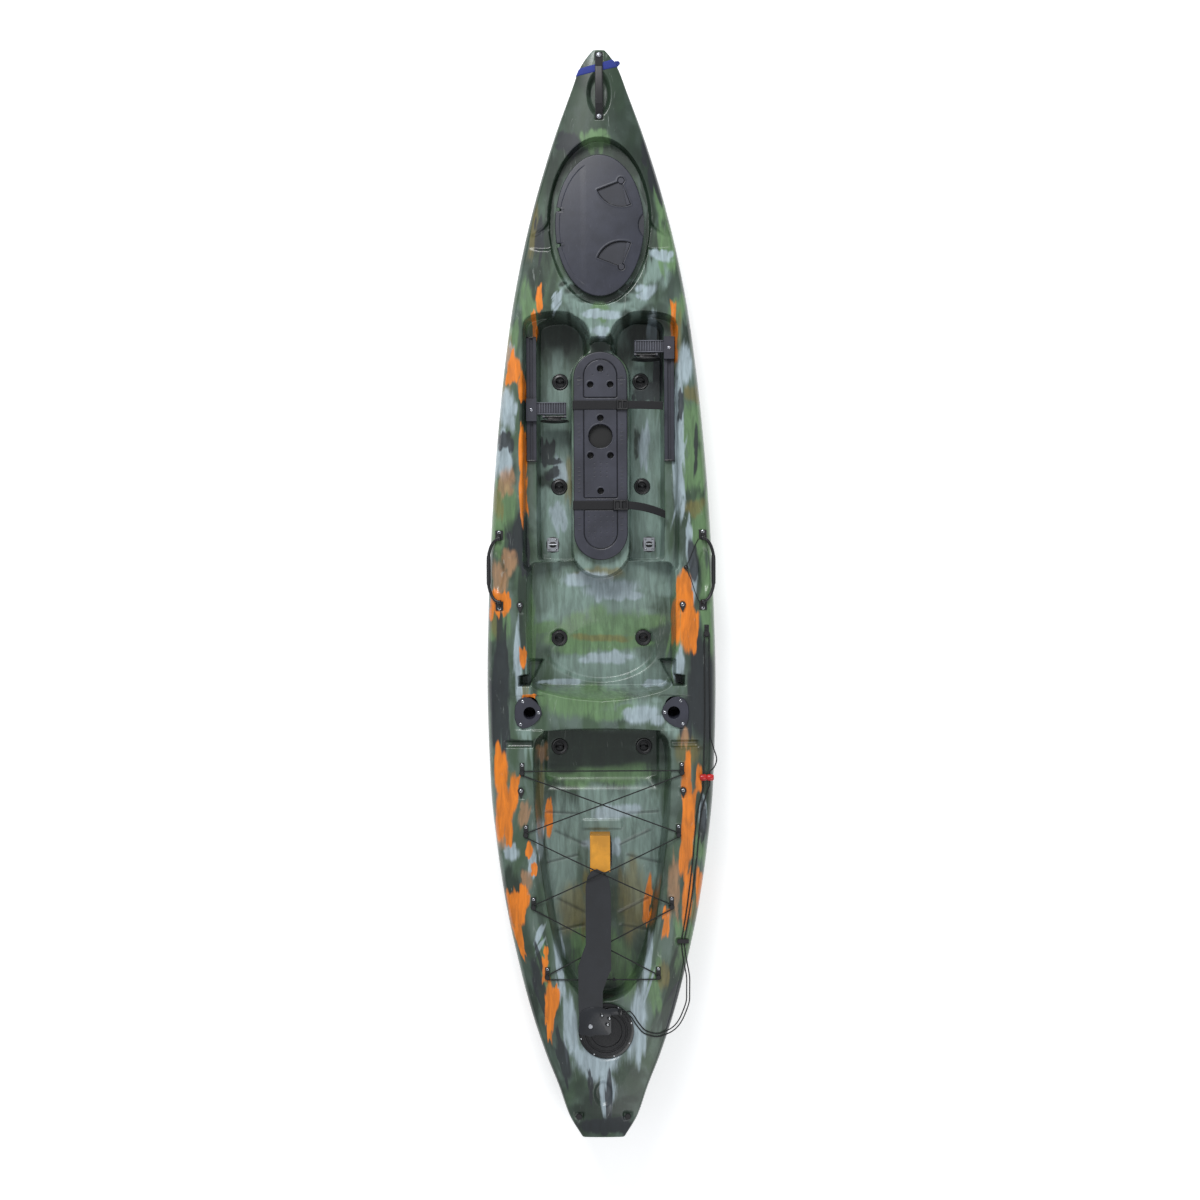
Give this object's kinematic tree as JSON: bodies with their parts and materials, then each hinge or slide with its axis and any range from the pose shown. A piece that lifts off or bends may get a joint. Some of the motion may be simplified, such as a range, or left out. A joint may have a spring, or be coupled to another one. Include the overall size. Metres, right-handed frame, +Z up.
{
  "type": "sit-on-top fishing kayak",
  "caption": "Sit-on-top fishing kayak with hatches, foot braces, rod holders, carry handles and a rudder stowed flat on the stern deck.",
  "frame": {"origin": "on the ground under the middle of the hull, on the centreline", "axes": "+Y to the bow, +X to starboard, +Z up"},
  "size_m": [0.913, 4.3, 0.3921],
  "materials": {
    "hull_plastic": "moulded camouflage marbling, satin",
    "satin_black": "satin",
    "pod_grey": "fine grain",
    "rubber_black": "matt",
    "gloss_black": "gloss",
    "blade_black": "satin",
    "steel": "brushed",
    "cord_black": "braided elastic and cord",
    "webbing": "woven webbing",
    "toggle_red": "gloss",
    "band_blue": "woven",
    "rest_yellow": "matt"
  },
  "bodies": {
    "hull": {"hull": "hull_plastic", "bow_handle_strap": "webbing", "bow_band": "band_blue", "bow_hatch_seal": "rubber_black", "foot_rail_port": "satin_black", "rod_holder_port": "satin_black", "seat_bracket_port": "steel", "side_handle_pad_fore_port": "rubber_black", "side_handle_pad_aft_port": "rubber_black", "deck_cleat_fore_port": "rubber_black", "deck_cleat_aft_port": "rubber_black", "stern_fairlead_port": "rubber_black", "bungee_hook_1_port": "rubber_black", "bungee_hook_2_port": "rubber_black", "bungee_hook_3_port": "rubber_black", "bungee_hook_4_port": "rubber_black", "foot_rail_starboard": "satin_black", "rod_holder_starboard": "satin_black", "seat_bracket_starboard": "steel", "side_handle_pad_fore_starboard": "rubber_black", "side_handle_pad_aft_starboard": "rubber_black", "deck_cleat_fore_starboard": "rubber_black", "deck_cleat_aft_starboard": "rubber_black", "stern_fairlead_starboard": "rubber_black", "bungee_hook_1_starboard": "rubber_black", "bungee_hook_2_starboard": "rubber_black", "bungee_hook_3_starboard": "rubber_black", "bungee_hook_4_starboard": "rubber_black", "stern_hatch_ring": "gloss_black", "rudder_head": "gloss_black", "rudder_pin": "steel", "rudder_rest": "rest_yellow", "tank_bungee": "cord_black", "rudder_lift_line": "cord_black", "paddle_keeper": "cord_black", "lift_line_eye": "rubber_black", "lift_line_guide": "rubber_black", "lift_line_toggle": "toggle_red"},
    "bow_hatch_lid": {"bow_hatch_lid": "satin_black"},
    "bow_latch_fore": {"bow_hatch_latch_fore": "satin_black"},
    "bow_latch_aft": {"bow_hatch_latch_aft": "satin_black"},
    "pod": {"pod_cover": "pod_grey", "pod_strap_fore": "webbing", "pod_strap_aft": "webbing"},
    "stern_lid": {"stern_hatch_lid": "gloss_black"},
    "rudder_blade": {"rudder_blade": "blade_black"},
    "foot_slider_port": {"foot_slider_port": "satin_black"},
    "foot_pedal_port": {"foot_pedal_port": "satin_black"},
    "side_handle_port": {"side_handle_port": "rubber_black"},
    "plug_foot_fore_port": {"scupper_plug_foot_fore_port": "rubber_black"},
    "plug_foot_aft_port": {"scupper_plug_foot_aft_port": "rubber_black"},
    "plug_seat_port": {"scupper_plug_seat_port": "rubber_black"},
    "plug_tank_port": {"scupper_plug_tank_port": "rubber_black"},
    "foot_slider_starboard": {"foot_slider_starboard": "satin_black"},
    "foot_pedal_starboard": {"foot_pedal_starboard": "satin_black"},
    "side_handle_starboard": {"side_handle_starboard": "rubber_black"},
    "plug_foot_fore_starboard": {"scupper_plug_foot_fore_starboard": "rubber_black"},
    "plug_foot_aft_starboard": {"scupper_plug_foot_aft_starboard": "rubber_black"},
    "plug_seat_starboard": {"scupper_plug_seat_starboard": "rubber_black"},
    "plug_tank_starboard": {"scupper_plug_tank_starboard": "rubber_black"}
  },
  "joints": [
    {"name": "bow_lid_hinge", "type": "hinge", "parent": "hull", "child": "bow_hatch_lid", "pos_m": [-0.162, 1.457, 0.324], "axis": [0, -1, 0], "range_deg": [0, 110]},
    {"name": "bow_latch_fore_turn", "type": "hinge", "parent": "bow_hatch_lid", "child": "bow_latch_fore", "pos_m": [0.086, 1.64, 0.325], "axis": [0, 0, -1], "range_deg": [0, 75]},
    {"name": "bow_latch_aft_turn", "type": "hinge", "parent": "bow_hatch_lid", "child": "bow_latch_aft", "pos_m": [0.086, 1.299, 0.325], "axis": [0, 0, 1], "range_deg": [0, 75]},
    {"name": "pod_lift", "type": "slide", "parent": "hull", "child": "pod", "axis": [0, 0, 1], "range_m": [0, 0.12]},
    {"name": "stern_lid_turn", "type": "hinge", "parent": "hull", "child": "stern_lid", "pos_m": [0.012, -1.722, 0.31], "axis": [0, 0, 1], "continuous": true},
    {"name": "rudder_blade_swing", "type": "hinge", "parent": "hull", "child": "rudder_blade", "pos_m": [-0.05, -1.7, 0.328], "axis": [0, 0, -1], "range_deg": [0, 90], "deforming": ["tank_bungee", "rudder_lift_line"]},
    {"name": "foot_slide_port", "type": "slide", "parent": "hull", "child": "foot_slider_port", "axis": [0, 1, 0], "range_m": [-0.161, 0.249]},
    {"name": "foot_slide_starboard", "type": "slide", "parent": "hull", "child": "foot_slider_starboard", "axis": [0, 1, 0], "range_m": [-0.406, 0.004]},
    {"name": "pedal_tilt_port", "type": "hinge", "parent": "foot_slider_port", "child": "foot_pedal_port", "pos_m": [-0.1835, 0.717, 0.211], "axis": [-1, 0, 0], "range_deg": [0, 20]},
    {"name": "pedal_tilt_starboard", "type": "hinge", "parent": "foot_slider_starboard", "child": "foot_pedal_starboard", "pos_m": [0.1835, 0.964, 0.211], "axis": [-1, 0, 0], "range_deg": [0, 20]},
    {"name": "side_handle_lift_port", "type": "hinge", "parent": "hull", "child": "side_handle_port", "pos_m": [-0.404, 0.1025, 0.29846], "axis": [0, 1, 0], "range_deg": [0, 110]},
    {"name": "side_handle_lift_starboard", "type": "hinge", "parent": "hull", "child": "side_handle_starboard", "pos_m": [0.404, 0.1025, 0.29846], "axis": [0, -1, 0], "range_deg": [0, 110]},
    {"name": "plug_foot_fore_port_pull", "type": "slide", "parent": "hull", "child": "plug_foot_fore_port", "axis": [0, 0, 1], "range_m": [0, 0.04]},
    {"name": "plug_foot_aft_port_pull", "type": "slide", "parent": "hull", "child": "plug_foot_aft_port", "axis": [0, 0, 1], "range_m": [0, 0.04]},
    {"name": "plug_seat_port_pull", "type": "slide", "parent": "hull", "child": "plug_seat_port", "axis": [0, 0, 1], "range_m": [0, 0.04]},
    {"name": "plug_tank_port_pull", "type": "slide", "parent": "hull", "child": "plug_tank_port", "axis": [0, 0, 1], "range_m": [0, 0.04]},
    {"name": "plug_foot_fore_starboard_pull", "type": "slide", "parent": "hull", "child": "plug_foot_fore_starboard", "axis": [0, 0, 1], "range_m": [0, 0.04]},
    {"name": "plug_foot_aft_starboard_pull", "type": "slide", "parent": "hull", "child": "plug_foot_aft_starboard", "axis": [0, 0, 1], "range_m": [0, 0.04]},
    {"name": "plug_seat_starboard_pull", "type": "slide", "parent": "hull", "child": "plug_seat_starboard", "axis": [0, 0, 1], "range_m": [0, 0.04]},
    {"name": "plug_tank_starboard_pull", "type": "slide", "parent": "hull", "child": "plug_tank_starboard", "axis": [0, 0, 1], "range_m": [0, 0.04]}
  ]
}
